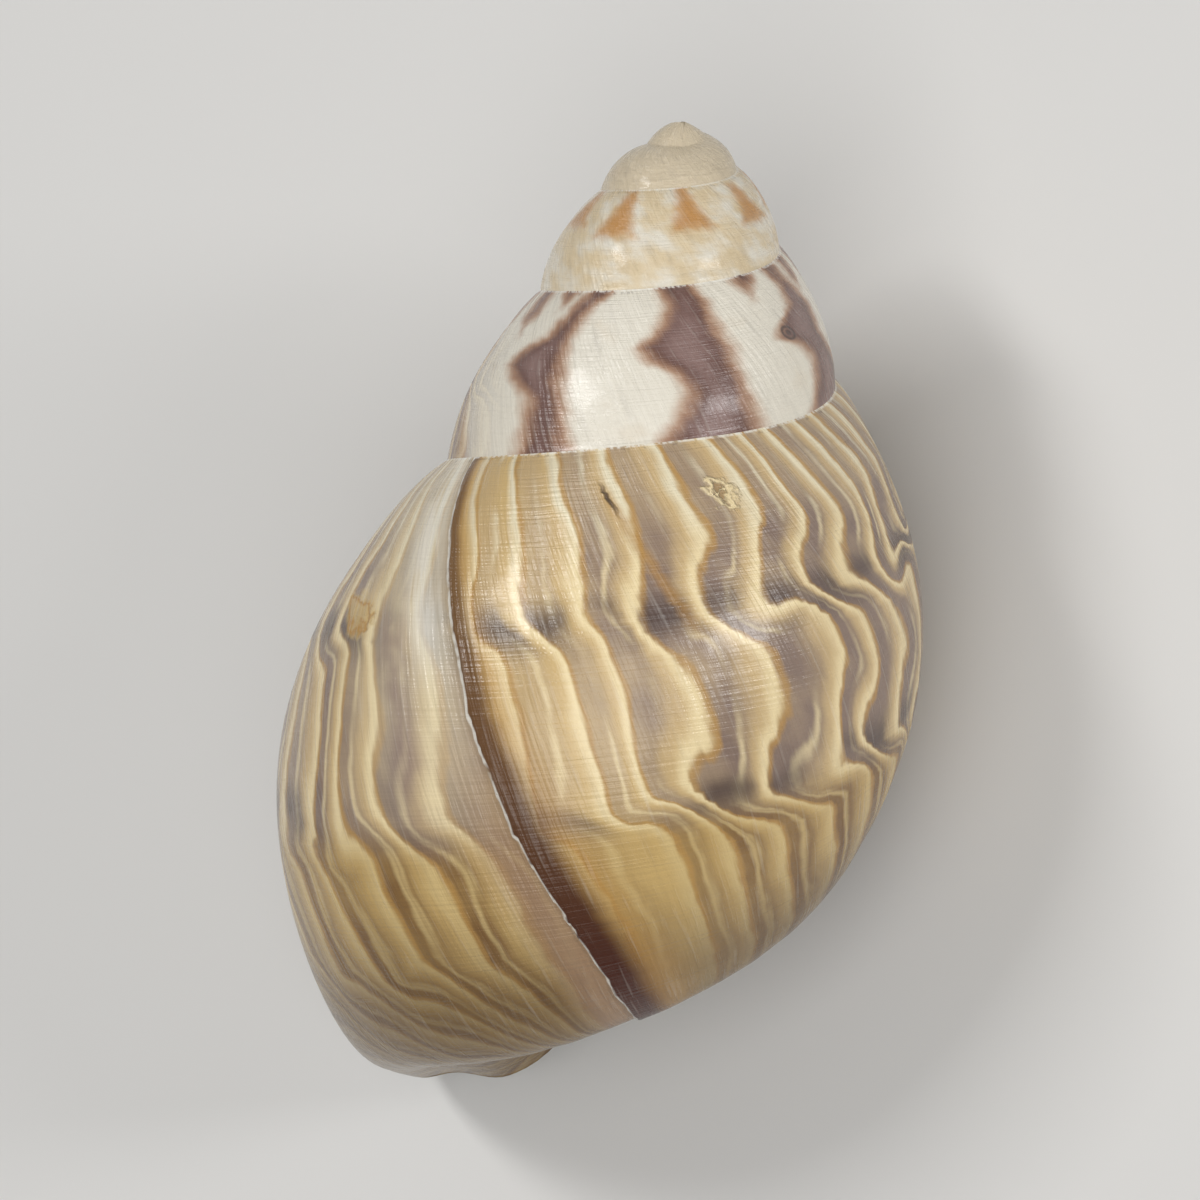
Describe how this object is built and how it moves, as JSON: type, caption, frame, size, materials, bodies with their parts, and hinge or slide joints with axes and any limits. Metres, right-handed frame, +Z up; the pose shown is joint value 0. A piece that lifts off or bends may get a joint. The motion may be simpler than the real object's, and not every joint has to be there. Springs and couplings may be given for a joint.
{
  "type": "land_snail_shell",
  "caption": "Empty conical land snail shell, right-handed, ivory and brown flames on the upper whorls and streaked grey-gold last whorl, lying on its mouth.",
  "frame": {"origin": "the middle of the shell's box seen from above, on the ground it lies on", "axes": "+Z up from the ground the mouth rests on, +Y towards the apex, +X to the side where the last whorl turns down to the lip"},
  "size_m": [0.0478, 0.0702, 0.0383],
  "materials": {
    "shell": "glossy"
  },
  "bodies": {
    "root": {"shell": "shell"}
  },
  "joints": []
}
